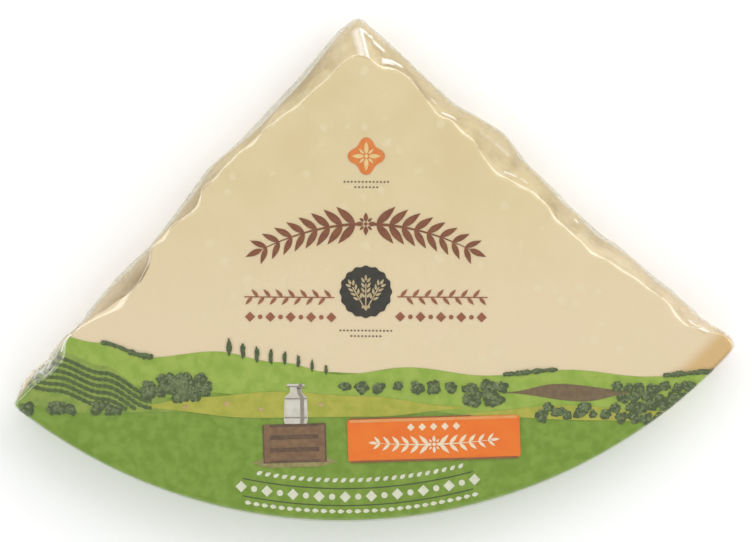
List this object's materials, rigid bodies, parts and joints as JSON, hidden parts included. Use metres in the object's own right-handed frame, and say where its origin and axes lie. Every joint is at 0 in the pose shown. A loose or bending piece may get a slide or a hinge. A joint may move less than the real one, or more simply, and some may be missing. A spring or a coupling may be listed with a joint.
{
  "type": "vacuum-packed wedge of hard grating cheese",
  "caption": "Quarter-wheel wedge of pale hard grating cheese with broken sides and a curved rind, sealed tight in glossy clear film with a printed country scene, lying flat.",
  "frame": {"origin": "bottom centre of the pack's bounding box, on the flat back face that it lies on", "axes": "+Z out of the printed front face, which is up; +Y towards the wedge's tip, with the curved rind side towards -Y; +X to the right as the front is read, along the longest extent"},
  "size_m": [0.2994, 0.2098, 0.03],
  "materials": {
    "cheese_paste": null,
    "cheese_rind": null,
    "clear_film": "clear glossy shrink film",
    "printed_ink": "ink printed on the film's inner side, seen through its gloss"
  },
  "bodies": {
    "root": {"vacuum_packed_wedge": "cheese_paste"}
  },
  "joints": []
}
